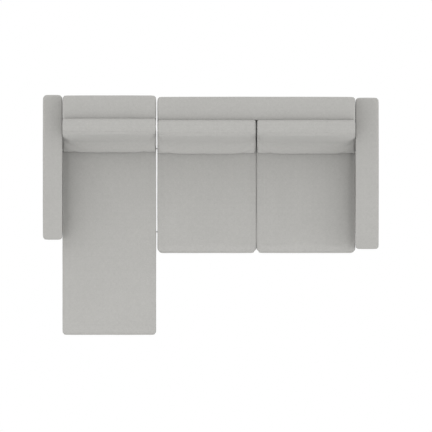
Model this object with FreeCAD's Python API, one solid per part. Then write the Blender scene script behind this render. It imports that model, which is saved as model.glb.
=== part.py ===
import FreeCAD, Part
import math
import os
from FreeCAD import Vector

os.makedirs("parts", exist_ok=True)

# A modular sofa in millimetres: a chaise with the left arm, hooked to a two-seat unit with the right arm.
# Seen from above with the backs at +Y, the chaise is at -X and the two seats are at +X; +Z is up.
# The origin lies on the floor under the middle of the whole footprint.

# Widths, from left to right
left_arm_width = 128.0
chaise_width = 609.0
module_gap = 8.0
two_seat_width = 1287.0
right_arm_width = 152.0
overall_width = left_arm_width + chaise_width + module_gap + two_seat_width + right_arm_width

# Depths
overall_depth = 1560.0
chaise_rear_step = 3.0       # the chaise back stands this far in front of its arm's rear
two_seat_rear_step = 12.0    # the same for the two-seat back, from the rear of the whole footprint
two_seat_depth = 1016.0
left_arm_depth = 941.0
right_arm_depth = 984.0
right_arm_rear_step = 18.0

# Heights
leg_height = 120.0
base_top = 300.0
seat_top = 450.0
arm_top = 630.0
back_top = 790.0
back_cushion_top = 835.0

# Upholstered walls
cover_thick = 2.0
padding_thick = 18.0
board_thick = 4.0
arm_front_radius = 20.0
arm_rear_radius = 24.0
arm_top_radius = 12.0
back_edge_radius = 12.0
back_rear_radius = 16.0      # upright, at the rear corners of a back
upright_chamfer = 15.0       # on the padding under the cover
top_chamfer = 7.0
back_top_thick = 155.0
back_foot_thick = 203.0      # the front of the back leans, so it is thicker at the seat deck

# Base
base_setback = 36.0          # the base stands this far behind the fronts of its cushions
front_panel_thick = 20.0
side_panel_thick = 12.0
panel_corner_radius = 18.0
rail_thick = 25.0
dust_cloth_thick = 1.5
strap_thick = 1.5
strap_wide = 75.0
strap_lap_share = 0.2        # a woven strap runs flat this share of the way to the next strap
deck_pad_thick = 7.5
cross_rail_drop = 18.0       # cross rails stay clear of the webbing when it sags
corner_block_side = 95.0
corner_block_tall = 60.0

# Frames of arms and backs
post_thick = 30.0
arm_post_count = 5
rib_thick = 24.0
rib_count_chaise = 4
rib_count_two_seat = 7

# Legs and fasteners
leg_top_half = 26.0
leg_foot_half = 17.0
leg_shoulder = 12.0
corner_planing = 1.28        # across the planed corners, as a share of the width across the flats
leg_inset = 52.0
arm_leg_front_inset = 62.0
arm_leg_rear_inset = 72.0
leg_bolt_radius = 4.0
leg_bolt_up = 40.0
leg_bolt_down = 28.0
frame_bolt_radius = 4.0
frame_bolt_head = 7.5
frame_bolt_head_tall = 6.0
frame_bolt_height = 215.0
arm_bolt_inset = 110.0       # from the arm's front, and from the foot of the back
back_bolt_share = 0.3        # from a module's middle, as a share of its width

# Hook-on joint between the modules
stud_radius = 3.0
stud_head_radius = 8.0
stud_head_thick = 4.0
stud_height = 205.0
unhook_lift = 32.0
keyhole_plate_thick = 2.5
keyhole_plate_wide = 64.0
keyhole_plate_tall = 110.0
keyhole_clearance = 1.0
entry_clearance = 1.5        # round the head as it passes the keyhole's entry
pocket_clearance = 4.0       # round the head behind the plate
pocket_wall = 8.0            # what the pocket leaves of the rail
window_clearance = 3.0       # round the plate in the panel
stud_places = (-110.0, 430.0)

# Loose cushions
cushion_clearance = 1.5
cushion_rest_gap = 0.4
seat_split_gap = 3.0
back_cushion_gap = 6.0
back_cushion_inset = 2.0     # past the clearance, beside an arm
chaise_cushion_free_inset = 10.0   # at the chaise cushion's end with no arm
ridge_front = 84.0           # from the top front edge of the back to the front of the cushion's ridge
cushion_front_foot = 216.0   # the same to the foot of the cushion's leaning front
core_inset = 16.0            # wadding and cover round each foam core
wedge_top_inset = 14.0       # more of it over the wedge in a back cushion
wedge_rear_inset = 8.0
side_draw = 2.5
seat_crown = 8.0
seat_edge = 24.0             # along the front and the rear
seat_side_edge = 10.0        # along the sides, which meet a neighbour
seat_low_edge = 12.0
seat_rear_radius = 22.0
chaise_front_radius = 20.0
two_seat_front_radius = 32.0
back_cushion_toe = 12.0
back_cushion_radii = (24.0, 24.0, 18.0, 18.0)
ridge_reach = 4.0            # how far the belly ends in front of the ridge
ridge_front_drop = 14.0
ridge_front_run = 20.0
ridge_front_bow = 5.0
ridge_crown = 1.5
ridge_rear_run = 28.0
ridge_rear_drop = 24.0
ridge_rear_step = 5.0
ridge_rear_bow = 6.0
toe_bow = 2.4
cushion_belly = 11.0
view_margin = 4.0            # how far a front or side view passes the plan it is crossed with
straight = (0, 0, 0, 0)

# Derived lines
left_x = -overall_width / 2
right_x = overall_width / 2
rear_y = overall_depth / 2
front_y = -overall_depth / 2
chaise_x0 = left_x + left_arm_width
chaise_x1 = chaise_x0 + chaise_width
two_seat_x0 = chaise_x1 + module_gap
two_seat_x1 = two_seat_x0 + two_seat_width
dust_top = leg_height + dust_cloth_thick
webbing_top = base_top - deck_pad_thick
high_rail_top = webbing_top - 2 * strap_thick   # the rails that the plain straps end on
low_rail_top = high_rail_top - strap_thick      # the rails that the woven straps end on


def box(x0, x1, y0, y1, z0, z1):
    return Part.makeBox(x1 - x0, y1 - y0, z1 - z0, Vector(x0, y0, z0))


def small_bar(radius, length, start, direction):
    """a bolt's shaft or its hole, drawn with twelve sides"""
    side = Vector(0, 0, 1) if abs(direction.z) < 0.5 else Vector(1, 0, 0)
    return many_sided(12, radius, length, start, direction, side)


def many_sided(count, radius, length, start, direction, side):
    other = direction.cross(side)
    ring = []
    for i in range(count):
        angle = 2 * math.pi * i / count
        ring.append(start + side * (radius * math.cos(angle)) + other * (radius * math.sin(angle)))
    return Part.Face(Part.makePolygon(ring + ring[:1])).extrude(direction * length)


def prism_along_x(points, x0, x1):
    """a closed outline of (y, z) points, extruded from x0 to x1"""
    corners = [Vector(x0, y, z) for y, z in points]
    face = Part.Face(Part.makePolygon(corners + corners[:1]))
    return face.extrude(Vector(x1 - x0, 0, 0))


def fuse_all(shapes):
    first = shapes[0]
    return first.fuse(shapes[1:]).removeSplitter() if len(shapes) > 1 else first


def cut_all(shape, tools):
    return shape.cut(tools) if tools else shape


def save(name, shape):
    solids = shape.Solids
    whole = solids[0] if len(solids) == 1 else Part.makeCompound(solids)
    assert whole.isValid(), name
    whole.exportStep("parts/" + name + ".step")


def save_group(name, pieces, tools):
    """several solids in one file, with the same tools cut from each"""
    save(name, Part.makeCompound([cut_all(piece, tools) for piece in pieces]))


class Module:
    """the lines that one module's pieces share"""

    def __init__(self, name, x0, x1, front, rear, rib_count):
        self.name = name
        self.x0 = x0
        self.x1 = x1
        self.front = front
        self.base_front = front + base_setback
        self.rear = rear
        self.rib_count = rib_count
        self.back_foot = rear - back_foot_thick
        self.back_edge = rear - back_top_thick

    def back_face(self, z):
        """y of the leaning front of the back at a height"""
        share = max(0.0, (z - base_top) / (back_top - base_top))
        return self.back_foot + (self.back_edge - self.back_foot) * share

    def inside(self):
        """the space inside the base panels: x0, x1, y0, y1"""
        return (self.x0 + side_panel_thick, self.x1 - side_panel_thick,
                self.base_front + front_panel_thick, self.back_foot)


chaise = Module("chaise", chaise_x0, chaise_x1, front_y, rear_y - chaise_rear_step, rib_count_chaise)
two_seat_rear = rear_y - two_seat_rear_step
two_seat = Module("two_seat", two_seat_x0, two_seat_x1, two_seat_rear - two_seat_depth, two_seat_rear,
                  rib_count_two_seat)


class Arm:
    """the lines of one arm; inner is the x of its face beside the seat"""

    def __init__(self, name, x0, x1, inner, rear, depth):
        self.name = name
        self.x0 = x0
        self.x1 = x1
        self.inner = inner
        self.y0 = rear - depth
        self.y1 = rear


left_arm = Arm("left_arm", left_x, chaise_x0, chaise_x0, rear_y, left_arm_depth)
right_arm = Arm("right_arm", two_seat_x1, right_x, two_seat_x1, rear_y - right_arm_rear_step, right_arm_depth)


# Upholstered walls: arms and backs

def chamfered(block, upright, top):
    """chamfers on a block's upright edges and then along its top"""
    edges = [edge for edge in block.Edges if edge.BoundBox.ZLength > 100]
    block = block.makeChamfer(upright, edges)
    high = block.BoundBox.ZMax
    return block.makeChamfer(top, [edge for edge in block.Edges if edge.BoundBox.ZMin > high - 0.1])


def arm_form(arm):
    """the arm's outer form: its plan, its front view and its side view crossed"""
    radii = (arm_front_radius, arm_front_radius, arm_rear_radius, arm_rear_radius)
    plan = soft_outline(arm.x0, arm.x1, arm.y0, arm.y1, radii, straight)
    return crossed(plan, rounded_top(arm.x0, arm.x1, arm_top, arm_top_radius),
                   rounded_top(arm.y0, arm.y1, arm_top, arm_top_radius), leg_height)


def arm_lining(arm):
    """where the arm's cover lies on its padding"""
    block = box(arm.x0 + cover_thick, arm.x1 - cover_thick, arm.y0 + cover_thick, arm.y1 - cover_thick,
                leg_height, arm_top - cover_thick)
    return chamfered(block, upright_chamfer, top_chamfer)


def arm_cavity(arm):
    inset = cover_thick + padding_thick
    return box(arm.x0 + inset, arm.x1 - inset, arm.y0 + inset, arm.y1 - inset, leg_height, arm_top - inset)


def arm_frame(arm):
    """posts and rails with a board on each side, glued into one box"""
    space = arm_cavity(arm).BoundBox
    pieces = [box(space.XMin, space.XMin + board_thick, space.YMin, space.YMax, space.ZMin, space.ZMax),
              box(space.XMax - board_thick, space.XMax, space.YMin, space.YMax, space.ZMin, space.ZMax),
              box(space.XMin, space.XMax, space.YMin, space.YMax, space.ZMin, space.ZMin + rail_thick),
              box(space.XMin, space.XMax, space.YMin, space.YMax, space.ZMax - rail_thick, space.ZMax)]
    pitch = (space.YLength - post_thick) / (arm_post_count - 1)
    for i in range(arm_post_count):
        y = space.YMin + i * pitch
        pieces.append(box(space.XMin, space.XMax, y, y + post_thick, space.ZMin, space.ZMax))
    return fuse_all(pieces)


def back_outline(module, inset):
    return [(module.back_foot + inset, leg_height), (module.back_foot + inset, base_top),
            (module.back_edge + inset, back_top - inset), (module.rear - inset, back_top - inset),
            (module.rear - inset, leg_height)]


def back_form(module):
    """the back's outer form: a leaning front, rounded along the top, the ends and the rear corners"""
    radius = back_edge_radius
    block = prism_along_x(back_outline(module, 0.0), module.x0, module.x1)
    top = [edge for edge in block.Edges if edge.BoundBox.ZMin > back_top - 1 and edge.BoundBox.XLength > 100]
    block = block.makeFillet(radius, top)
    front_view = soft_outline(module.x0, module.x1, leg_height - 2 * radius, back_top, (radius,) * 4, straight)
    plan = soft_outline(module.x0, module.x1, module.back_foot - 2 * back_rear_radius, module.rear,
                        (back_rear_radius,) * 4, straight)
    block = block.common(along_y(front_view, module.back_foot - 1, module.rear + 1))
    return block.common(along_z(plan, leg_height, back_top)).Solids[0]


def back_lining(module):
    """where the back's cover lies on its padding"""
    block = prism_along_x(back_outline(module, cover_thick), module.x0 + cover_thick, module.x1 - cover_thick)
    return chamfered(block, top_chamfer, top_chamfer)


def back_cavity(module):
    inset = cover_thick + padding_thick
    return prism_along_x(back_outline(module, inset), module.x0 + inset, module.x1 - inset)


def back_frame(module):
    """wedge ribs cut to the slope of the back, between a foot rail, a waist rail, a top rail and two boards"""
    inset = cover_thick + padding_thick
    cavity = back_cavity(module)
    space = cavity.BoundBox
    core = prism_along_x(back_outline(module, inset + board_thick), space.XMin, space.XMax)
    boards = cavity.cut(core)
    pieces = [boards]
    pitch = (space.XLength - rib_thick) / (module.rib_count - 1)
    for i in range(module.rib_count):
        x = space.XMin + i * pitch
        pieces.append(cavity.common(box(x, x + rib_thick, space.YMin, space.YMax, space.ZMin, space.ZMax)))
    for low in (space.ZMin, base_top - rail_thick, space.ZMax - rail_thick):
        pieces.append(cavity.common(box(space.XMin, space.XMax, space.YMin, space.YMax, low, low + rail_thick)))
    return fuse_all(pieces)


# Base of a module

def front_panel(module):
    """a padded board across the front, with its upright corners rounded"""
    y0 = module.base_front
    y1 = y0 + front_panel_thick
    corner = panel_corner_radius
    plan = soft_outline(module.x0, module.x1, y0, y1 + 2 * corner, (corner,) * 4, straight)
    block = along_z(plan, leg_height, base_top)
    return block.common(box(module.x0, module.x1, y0, y1, leg_height, base_top))


def side_panel(module, x0):
    return box(x0, x0 + side_panel_thick, module.base_front + front_panel_thick, module.back_foot,
               leg_height, base_top)


def end_rails(module, top):
    x0, x1, y0, y1 = module.inside()
    return [box(x0, x1, y0, y0 + rail_thick, dust_top, top),
            box(x0, x1, y1 - rail_thick, y1, dust_top, top)]


def side_rails(module, top):
    x0, x1, y0, y1 = module.inside()
    y0 = y0 + rail_thick
    y1 = y1 - rail_thick
    return [box(x0, x0 + rail_thick, y0, y1, dust_top, top),
            box(x1 - rail_thick, x1, y0, y1, dust_top, top)]


def cross_rails(module, count, across):
    """rails between the two longer sides; across runs them along X"""
    x0, x1, y0, y1 = [value + step for value, step in zip(module.inside(), (rail_thick, -rail_thick) * 2)]
    top = low_rail_top - cross_rail_drop
    rails = []
    for i in range(count):
        share = (i + 1) / (count + 1)
        if across:
            y = y0 + (y1 - y0) * share
            rails.append(box(x0, x1, y - rail_thick / 2, y + rail_thick / 2, dust_top, top))
        else:
            x = x0 + (x1 - x0) * share
            rails.append(box(x - rail_thick / 2, x + rail_thick / 2, y0, y1, dust_top, top))
    return rails


def corner_blocks(module):
    """triangular blocks glued into the corners; the front ones take the leg bolts"""
    x0, x1, y0, y1 = [value + step for value, step in zip(module.inside(), (rail_thick, -rail_thick) * 2)]
    blocks = []
    for x, side_x in ((x0, 1), (x1, -1)):
        for y, side_y in ((y0, 1), (y1, -1)):
            corners = [Vector(x, y, dust_top), Vector(x + side_x * corner_block_side, y, dust_top),
                       Vector(x, y + side_y * corner_block_side, dust_top)]
            face = Part.Face(Part.makePolygon(corners + corners[:1]))
            blocks.append(face.extrude(Vector(0, 0, corner_block_tall)))
    return blocks


def woven_strap(levels):
    """a ribbon that steps over and under what it crosses; levels are the points of its underside"""
    low = [Vector(u, 0, z) for u, z in levels]
    high = [Vector(u, 0, z + strap_thick) for u, z in reversed(levels)]
    face = Part.Face(Part.makePolygon(low + high + low[:1]))
    ribbon = face.extrude(Vector(0, strap_wide, 0))
    ribbon.translate(Vector(0, -strap_wide / 2, 0))
    return ribbon


def webbing(module, plain_count, woven_count, woven_along_x):
    """elastic webbing: plain straps one way, straps woven over and under them the other way"""
    x0, x1, y0, y1 = module.inside()
    if woven_along_x:
        u0, u1, v0, v1 = x0, x1, y0 + rail_thick, y1 - rail_thick
        plain_ends = (y0, y1)
    else:
        u0, u1, v0, v1 = y0, y1, x0 + rail_thick, x1 - rail_thick
        plain_ends = (x0, x1)
    mid = high_rail_top
    plain_pitch = (u1 - u0) / plain_count
    plain_places = [u0 + plain_pitch * (i + 0.5) for i in range(plain_count)]
    woven_pitch = (v1 - v0) / woven_count
    straps = []
    for place in plain_places:
        half = strap_wide / 2
        if woven_along_x:
            straps.append(box(place - half, place + half, plain_ends[0], plain_ends[1], mid, mid + strap_thick))
        else:
            straps.append(box(plain_ends[0], plain_ends[1], place - half, place + half, mid, mid + strap_thick))
    slope = plain_pitch / 2 - strap_wide / 2
    for j in range(woven_count):
        levels = [(u0, mid - strap_thick)]
        for i, place in enumerate(plain_places):
            over = (i + j) % 2 == 0
            height = mid + strap_thick if over else mid - strap_thick
            reach = strap_wide / 2 + slope * strap_lap_share
            levels.append((place - reach, height))
            levels.append((place + reach, height))
        levels.append((u1, mid - strap_thick))
        ribbon = woven_strap(levels)
        place = v0 + woven_pitch * (j + 0.5)
        if woven_along_x:
            ribbon.translate(Vector(0, place, 0))
        else:
            ribbon.rotate(Vector(0, 0, 0), Vector(0, 0, 1), 90)
            ribbon.translate(Vector(place, 0, 0))
        straps.append(ribbon)
    return straps


# Legs and fasteners

def leg(x, y):
    """a square leg that tapers to its foot below a straight shoulder, with its corners planed off"""
    shoulder = leg_height - leg_shoulder

    def slab(widen, turn):
        foot = leg_foot_half * widen
        top = leg_top_half * widen
        outline = [(-foot, 0.0), (foot, 0.0), (top, shoulder), (top, leg_height), (-top, leg_height),
                   (-top, shoulder)]
        shape = prism_along_x(outline, -2 * leg_top_half, 2 * leg_top_half)
        shape.rotate(Vector(0, 0, 0), Vector(0, 0, 1), turn)
        return shape

    block = slab(1.0, 0).common(slab(1.0, 90)).common(slab(corner_planing, 45)).common(slab(corner_planing, 135))
    block.translate(Vector(x, y, 0))
    return block


def leg_bolt(x, y):
    return small_bar(leg_bolt_radius, leg_bolt_up + leg_bolt_down,
                     Vector(x, y, leg_height - leg_bolt_down), Vector(0, 0, 1))


def frame_bolt(head_at, direction, length):
    """a hexagon bolt; head_at is on the face its head bears on, and it points along direction"""
    shaft = small_bar(frame_bolt_radius, length, head_at, direction)
    head = many_sided(6, frame_bolt_head, frame_bolt_head_tall, head_at, direction * -1, Vector(0, 0, 1))
    return shaft.fuse(head)


# Hook-on joint

def hook_stud(y):
    """a headed stud through the chaise's right rail and across the gap between the modules"""
    root_x = chaise.x1 - side_panel_thick - rail_thick
    plate_back = two_seat.x0 + side_panel_thick + keyhole_plate_thick
    head_x = plate_back + keyhole_clearance
    along = Vector(1, 0, 0)
    shaft = Part.makeCylinder(stud_radius, head_x - root_x, Vector(root_x, y, stud_height), along)
    head = Part.makeCylinder(stud_head_radius, stud_head_thick, Vector(head_x, y, stud_height), along)
    nut = many_sided(6, stud_head_radius, stud_head_thick, Vector(root_x, y, stud_height), along * -1,
                     Vector(0, 0, 1))
    return fuse_all([shaft, head, nut])


def keyhole(x0, x1, y):
    """the keyhole's space: a slot for the stud's neck under a round entry for its head"""
    along = Vector(1, 0, 0)
    neck = stud_radius + keyhole_clearance
    entry = Part.makeCylinder(stud_head_radius + entry_clearance, x1 - x0,
                              Vector(x0, y, stud_height + unhook_lift), along)
    seat = Part.makeCylinder(neck, x1 - x0, Vector(x0, y, stud_height), along)
    slot = box(x0, x1, y - neck, y + neck, stud_height, stud_height + unhook_lift)
    return fuse_all([entry, seat, slot])


def plate_box(y, extra):
    x0 = two_seat.x0 + side_panel_thick
    middle = stud_height + unhook_lift / 2
    reach_y = keyhole_plate_wide / 2 + extra
    reach_z = keyhole_plate_tall / 2 + extra
    return box(x0, x0 + keyhole_plate_thick, y - reach_y, y + reach_y, middle - reach_z, middle + reach_z)


def keyhole_plate(y):
    x0 = two_seat.x0 + side_panel_thick
    return plate_box(y, 0).cut(keyhole(x0, x0 + keyhole_plate_thick, y))


def head_pocket(y):
    """room behind the plate for the stud's head, let into the rail"""
    x0 = two_seat.x0 + side_panel_thick
    room = stud_head_radius + pocket_clearance
    return box(x0, x0 + rail_thick - pocket_wall, y - room, y + room,
               stud_height - room, stud_height + unhook_lift + room)


# Loose cushions

def soft_outline(u0, u1, v0, v1, radii, draws):
    """a flat outline whose sides run straight or curve between rounded corners

    radii go round from the corner (u0, v0) by way of (u1, v0); draws start with the side along v0,
    above zero where a side is drawn in and below where it swells
    """
    r0, r1, r2, r3 = radii
    circles = [(Vector(u0 + r0, v0 + r0, 0), r0), (Vector(u1 - r1, v0 + r1, 0), r1),
               (Vector(u1 - r2, v1 - r2, 0), r2), (Vector(u0 + r3, v1 - r3, 0), r3)]
    sides = []
    for i in range(4):
        centre_a, radius_a = circles[i]
        centre_b, radius_b = circles[(i + 1) % 4]
        length = (centre_b - centre_a).Length
        along = (centre_b - centre_a) * (1 / length)
        draw = draws[i]
        if draw == 0:
            facing = (Vector(0, -1, 0), Vector(1, 0, 0), Vector(0, 1, 0), Vector(-1, 0, 0))[i]
            sides.append((centre_a + facing * radius_a, None, centre_b + facing * radius_b))
            continue
        turn = 1 if draw > 0 else -1
        outward = Vector(along.y, -along.x, 0) * turn
        swing = length * length / (8 * abs(draw)) + abs(draw) / 2
        reach_a = swing + turn * radius_a
        reach_b = swing + turn * radius_b
        foot = (reach_a ** 2 - reach_b ** 2 + length ** 2) / (2 * length)
        height = math.sqrt(reach_a ** 2 - foot ** 2)
        centre = centre_a + along * foot + outward * height
        start = centre_a + (centre - centre_a).normalize() * (turn * radius_a)
        end = centre_b + (centre - centre_b).normalize() * (turn * radius_b)
        middle = centre + ((start + end) * 0.5 - centre).normalize() * swing
        sides.append((start, middle, end))
    edges = []
    for i in range(4):
        start, middle, end = sides[i]
        edges.append(Part.Arc(start, middle, end).toShape() if middle else Part.makeLine(start, end))
        centre, radius = circles[(i + 1) % 4]
        next_start = sides[(i + 1) % 4][0]
        outer = ((end + next_start) * 0.5 - centre).normalize() * radius
        edges.append(Part.Arc(end, centre + outer, next_start).toShape())
    return Part.Wire(edges)


def along_z(outline, z0, z1):
    face = Part.Face(outline)
    face.translate(Vector(0, 0, z0))
    return face.extrude(Vector(0, 0, z1 - z0))


def along_y(outline, y0, y1):
    """the outline's u and v stand for x and z"""
    face = Part.Face(outline)
    face.rotate(Vector(0, 0, 0), Vector(1, 0, 0), 90)
    face.translate(Vector(0, y0, 0))
    return face.extrude(Vector(0, y1 - y0, 0))


def along_x(outline, x0, x1):
    """the outline's u and v stand for y and z"""
    face = Part.Face(outline)
    face.rotate(Vector(0, 0, 0), Vector(1, 0, 0), 90)
    face.rotate(Vector(0, 0, 0), Vector(0, 0, 1), 90)
    face.translate(Vector(x0, 0, 0))
    return face.extrude(Vector(x1 - x0, 0, 0))


def crossed(plan, front_view, side_view, low):
    """what three outlines, each extruded along its own axis, have in common"""
    high = max(front_view.BoundBox.YMax, side_view.BoundBox.YMax) + 1
    bounds = plan.BoundBox
    form = along_z(plan, low, high).common(along_y(front_view, bounds.YMin - 1, bounds.YMax + 1))
    return form.common(along_x(side_view, bounds.XMin - 1, bounds.XMax + 1)).Solids[0]


def rounded_top(u0, u1, top, radius):
    """a view of a wall that is rounded at the top and passes the plan a little at each side"""
    return soft_outline(u0 - view_margin, u1 + view_margin, leg_height - 2 * radius, top,
                        (radius,) * 4, straight)


def seat_view(u0, u1, edge):
    """a front or side view of a seat cushion, with its crown and the rounding of its upper edges"""
    return soft_outline(u0 - view_margin, u1 + view_margin, base_top + cushion_rest_gap, seat_top - seat_crown,
                        (seat_low_edge, seat_low_edge, edge, edge), (0, 0, -seat_crown, 0))


def seat_cushion(x0, x1, module, front_radius):
    """a box cushion with drawn-in sides, soft edges and a top crowned both ways"""
    y0 = module.front
    y1 = module.back_foot - cushion_clearance
    plan = soft_outline(x0, x1, y0, y1, (front_radius, front_radius, seat_rear_radius, seat_rear_radius),
                        (side_draw,) * 4)
    return crossed(plan, seat_view(x0, x1, seat_side_edge), seat_view(y0, y1, seat_edge), base_top)


def back_cushion(x0, x1, module):
    """a loose back cushion: bellied leaning front, rounded ridge, rear lying on the leaning back"""
    low = seat_top + cushion_rest_gap
    lean_top = module.back_face(back_top) - cushion_clearance
    lean_low = module.back_face(low) - cushion_clearance
    ridge = module.back_edge - ridge_front
    foot = module.back_edge - cushion_front_foot
    toe = back_cushion_toe
    front_low = Vector(foot, low + toe, 0)
    front_high = Vector(ridge - ridge_reach, back_cushion_top - ridge_front_drop, 0)
    ridge_start = Vector(ridge + ridge_front_run, back_cushion_top - ridge_crown, 0)
    ridge_end = Vector(lean_top - ridge_rear_run, back_cushion_top - ridge_crown, 0)
    rear_high = Vector(lean_top - ridge_rear_step, back_cushion_top - ridge_rear_drop, 0)
    rear_top = Vector(lean_top, back_top, 0)
    rear_low = Vector(lean_low, low + toe, 0)
    sole_rear = Vector(lean_low - toe, low, 0)
    sole_front = Vector(foot + toe, low, 0)

    def bow(start, end, swell):
        """an arc that swells to the left of its chord"""
        chord = (end - start).normalize()
        middle = (start + end) * 0.5 + Vector(-chord.y, chord.x, 0) * swell
        return Part.Arc(start, middle, end).toShape()

    edges = [bow(front_low, front_high, cushion_belly), bow(front_high, ridge_start, ridge_front_bow),
             bow(ridge_start, ridge_end, ridge_crown), bow(ridge_end, rear_high, ridge_rear_bow),
             Part.makeLine(rear_high, rear_top), Part.makeLine(rear_top, rear_low),
             bow(rear_low, sole_rear, toe_bow), Part.makeLine(sole_rear, sole_front),
             bow(sole_front, front_low, toe_bow)]
    section = along_x(Part.Wire(edges), x0 - 1, x1 + 1)
    draws = (0, side_draw * 2, 0, side_draw * 2)
    view = soft_outline(x0, x1, low - view_margin, back_cushion_top + 2 * view_margin, back_cushion_radii, draws)
    return section.common(along_y(view, foot - 2 * cushion_belly, module.rear)).Solids[0]


def seat_core(x0, x1, module):
    y0 = module.front
    y1 = module.back_foot - cushion_clearance
    low = base_top + cushion_rest_gap
    return box(x0 + core_inset, x1 - core_inset, y0 + core_inset, y1 - core_inset,
               low + core_inset / 2, seat_top - core_inset)


def back_core(x0, x1, module):
    """a foam wedge inside the back cushion"""
    low = seat_top + cushion_rest_gap + core_inset
    high = back_cushion_top - core_inset - wedge_top_inset
    ridge_y = module.back_edge - ridge_front
    foot_y = module.back_edge - cushion_front_foot
    span = back_cushion_top - seat_top
    front_low = foot_y + (ridge_y - foot_y) * (low - seat_top) / span
    front_high = foot_y + (ridge_y - foot_y) * (high - seat_top) / span
    rear_low = module.back_face(low) - cushion_clearance
    rear_high = module.back_face(back_top) - cushion_clearance - wedge_rear_inset
    outline = [(front_low + core_inset, low), (front_high + core_inset, high),
               (rear_high - core_inset, high), (rear_low - core_inset, low)]
    return prism_along_x(outline, x0 + core_inset, x1 - core_inset)


# Places of the fasteners

def bolts_into_arm(arm):
    """two bolts from inside the base, through its side rail and panel, into the arm's inner board"""
    sign = -1 if arm.inner > arm.x0 else 1
    head_x = arm.inner - sign * (side_panel_thick + rail_thick)
    length = side_panel_thick + rail_thick + cover_thick + padding_thick + board_thick
    module = chaise if arm is left_arm else two_seat
    first = arm.y0 + arm_bolt_inset
    last = module.back_foot - arm_bolt_inset
    return [frame_bolt(Vector(head_x, y, frame_bolt_height), Vector(sign, 0, 0), length) for y in (first, last)]


def bolts_into_back(module):
    """two bolts from inside the base, through its rear rail, into the back's front board"""
    head_y = module.back_foot - rail_thick
    length = rail_thick + cover_thick + padding_thick + board_thick
    reach = (module.x1 - module.x0) * back_bolt_share
    middle = (module.x0 + module.x1) / 2
    heads = [Vector(middle + side * reach, head_y, frame_bolt_height) for side in (-1, 1)]
    return [frame_bolt(head, Vector(0, 1, 0), length) for head in heads]


def leg_places(module, arm):
    """(name, x, y) of a module's legs, under the base front, the arm and the back's free end"""
    arm_mid = (arm.x0 + arm.x1) / 2
    free_x = module.x1 - leg_inset if arm is left_arm else module.x0 + leg_inset
    front = module.base_front + leg_inset
    back_mid = (module.back_foot + module.rear) / 2
    places = {"free_front": (free_x, front), "free_rear": (free_x, back_mid),
              "arm_front": (arm_mid, arm.y0 + arm_leg_front_inset),
              "arm_rear": (arm_mid, arm.y1 - arm_leg_rear_inset)}
    if arm is left_arm:
        places["foot_end"] = (module.x0 + leg_inset, front)
    else:
        places["middle"] = ((module.x0 + module.x1) / 2, front)
    return places


def build_module(module, arm, cross_count, cross_along_x, plain_count, woven_count):
    name = module.name
    places = leg_places(module, arm)
    leg_bolts = [leg_bolt(x, y) for x, y in places.values()]
    frame_bolts = bolts_into_arm(arm) + bolts_into_back(module)
    hooks = [hook_stud(y) for y in stud_places]
    if module is chaise:
        save_group("hook_studs", hooks, [])
        side_tools = hooks
        rail_tools = hooks
    else:
        save_group("keyhole_plates", [keyhole_plate(y) for y in stud_places], [])
        side_tools = []
        for y in stud_places:
            around = plate_box(y, window_clearance).BoundBox
            side_tools.append(box(module.x0 - 1, around.XMin, around.YMin, around.YMax, around.ZMin, around.ZMax))
        rail_tools = [plate_box(y, 0.0) for y in stud_places] + [head_pocket(y) for y in stud_places]

    # base
    end_top = high_rail_top if cross_along_x else low_rail_top
    side_top = low_rail_top if cross_along_x else high_rail_top
    save(name + "_front_panel", front_panel(module))
    for side, x in (("left", module.x0), ("right", module.x1 - side_panel_thick)):
        save(name + "_" + side + "_panel", cut_all(side_panel(module, x), frame_bolts + side_tools))
    save_group(name + "_end_rails", end_rails(module, end_top), frame_bolts)
    save_group(name + "_side_rails", side_rails(module, side_top), frame_bolts + rail_tools)
    save_group(name + "_cross_rails", cross_rails(module, cross_count, cross_along_x), leg_bolts)
    save_group(name + "_corner_blocks", corner_blocks(module), leg_bolts)
    save_group(name + "_webbing", webbing(module, plain_count, woven_count, cross_along_x), [])
    x0, x1, y0, y1 = module.inside()
    save(name + "_deck_pad", box(x0, x1, y0, y1, webbing_top, base_top))
    save(name + "_dust_cloth", cut_all(box(x0, x1, y0, y1, leg_height, dust_top), leg_bolts))

    # back and arm
    cavity = back_cavity(module)
    padding = back_lining(module)
    save(name + "_back_frame", cut_all(back_frame(module), frame_bolts + leg_bolts))
    save(name + "_back_padding", cut_all(padding.cut(cavity), frame_bolts))
    save(name + "_back_cover", cut_all(back_form(module).cut(padding), frame_bolts))
    cavity = arm_cavity(arm)
    padding = arm_lining(arm)
    save(arm.name + "_frame", cut_all(arm_frame(arm), frame_bolts + leg_bolts))
    save(arm.name + "_padding", cut_all(padding.cut(cavity), frame_bolts))
    save(arm.name + "_cover", cut_all(arm_form(arm).cut(padding), frame_bolts))

    # legs and their bolts
    for place, (x, y) in places.items():
        save(name + "_leg_" + place, leg(x, y).cut(leg_bolt(x, y)))
    save_group(name + "_leg_bolts", leg_bolts, [])
    save_group(name + "_frame_bolts", frame_bolts, [])


def build_seat(name, x0, x1, module, front_radius):
    core = seat_core(x0, x1, module)
    save(name + "_seat_core", core)
    save(name + "_seat_cover", seat_cushion(x0, x1, module, front_radius).cut(core))


def build_back_cushion(name, x0, x1, module):
    core = back_core(x0, x1, module)
    save(name + "_back_cushion_core", core)
    save(name + "_back_cushion_cover", back_cushion(x0, x1, module).cut(core))


build_module(chaise, left_arm, 2, True, 4, 9)
build_module(two_seat, right_arm, 2, False, 5, 9)

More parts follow.
